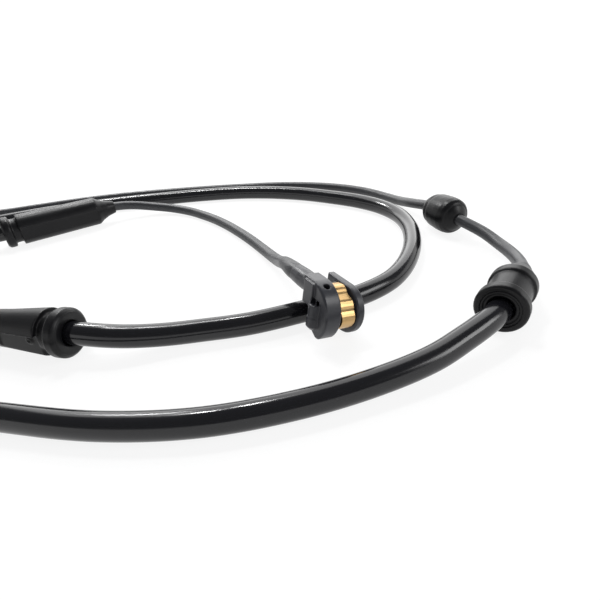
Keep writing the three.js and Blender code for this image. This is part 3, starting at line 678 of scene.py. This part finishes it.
# %% White where it is looked at
MATT_WHITE = 0.9
GLOW = 1.08
LIFT_NEAR, LIFT_FAR = 0.8, 1
LIFT_STARTS, LIFT_ENDS = 0.15, 0.4

paint = bpy.data.materials.new("white floor")
paint.use_nodes = True
tree = paint.node_tree
tree.nodes.remove(tree.nodes["Principled BSDF"])
matt = new_node(tree, "ShaderNodeBsdfDiffuse", {"Color": (MATT_WHITE, MATT_WHITE, MATT_WHITE, 1)})
glow = new_node(tree, "ShaderNodeEmission", {"Color": (1, 1, 1, 1), "Strength": GLOW})
path = new_node(tree, "ShaderNodeLightPath", {})
seen = new_node(tree, "ShaderNodeMath", {}, "MAXIMUM")
seen_too = new_node(tree, "ShaderNodeMath", {}, "MAXIMUM")
where = new_node(tree, "ShaderNodeTexCoord", {})
far = new_node(tree, "ShaderNodeVectorMath", {}, "LENGTH")
lift_from = {"From Min": LIFT_STARTS, "From Max": LIFT_ENDS}
lift = new_node(tree, "ShaderNodeMapRange", {**lift_from, "To Min": LIFT_NEAR, "To Max": LIFT_FAR})
lift.interpolation_type = "SMOOTHSTEP"
share = new_node(tree, "ShaderNodeMath", {}, "MULTIPLY")
mix = new_node(tree, "ShaderNodeMixShader", {})
tree.links.new(path.outputs["Is Camera Ray"], seen.inputs[0])
tree.links.new(path.outputs["Is Glossy Ray"], seen.inputs[1])
tree.links.new(seen.outputs["Value"], seen_too.inputs[0])
tree.links.new(path.outputs["Is Transmission Ray"], seen_too.inputs[1])
tree.links.new(where.outputs["Object"], far.inputs[0])
tree.links.new(far.outputs["Value"], lift.inputs["Value"])
tree.links.new(seen_too.outputs["Value"], share.inputs[0])
tree.links.new(lift.outputs["Result"], share.inputs[1])
tree.links.new(share.outputs["Value"], mix.inputs["Fac"])
tree.links.new(matt.outputs["BSDF"], mix.inputs[1])
tree.links.new(glow.outputs["Emission"], mix.inputs[2])
tree.links.new(mix.outputs["Shader"], tree.nodes["Material Output"].inputs["Surface"])
floor.data.materials.append(paint)
print("the floor near the cable is lifted", round(100 * LIFT_NEAR), "% of the way to white")

# %% [markdown]
# ## Lamps and room
#
# What the hose mirrors tells where the lamps stood. Its upper edge shows a broad grey band with a
# sharp lower border: that is a wide panel behind the object, from the table up to about 60
# degrees. On that border sit a few short white streaks, each the image of one small lamp. Below
# it the hose is black, because nothing shines from straight above. A wide lamp on the right and a
# dim room do the rest. A photographed room would light it too, but lamps can be moved one by one.

# %% Lamps and room
ROOM_GREY = (0.55, 0.56, 0.58, 1)
ROOM_STRENGTH = 0.35
MIDDLE = (0.0, 0.04, 0.0)
lamps = {
    "back": ((0.3, 0.66, 0.52), MIDDLE, (1.3, 0.92), 8),
    "streak a": ((-0.03, 0.40, 0.70), MIDDLE, (0.05, 0.05), 0.9),
    "streak b": ((0.09, 0.40, 0.70), MIDDLE, (0.05, 0.05), 0.9),
    "low streak": ((-0.045, 0.53, 0.42), (-0.05, 0.0, 0.0), (0.12, 0.03), 0.8),
    "right": ((0.74, -0.74, 0.70), MIDDLE, (0.6, 0.45), 5),
}
for name, (at, towards, size, power) in lamps.items():
    light = bpy.data.lights.new(name, "AREA")
    light.shape = "RECTANGLE"
    light.size, light.size_y = size
    light.energy = power
    lamp = bpy.data.objects.new(name, light)
    bpy.context.collection.objects.link(lamp)
    lamp.location = at
    lamp.rotation_euler = (Vector(towards) - Vector(at)).to_track_quat("-Z", "Y").to_euler()

world = bpy.data.worlds.new("room")
world.use_nodes = True
world.node_tree.nodes["Background"].inputs["Color"].default_value = ROOM_GREY
world.node_tree.nodes["Background"].inputs["Strength"].default_value = ROOM_STRENGTH
bpy.context.scene.world = world
print(len(lamps), "lamps")

# %% [markdown]
# ## The end

# %% Bring the scene up to date
bpy.context.view_layer.update()
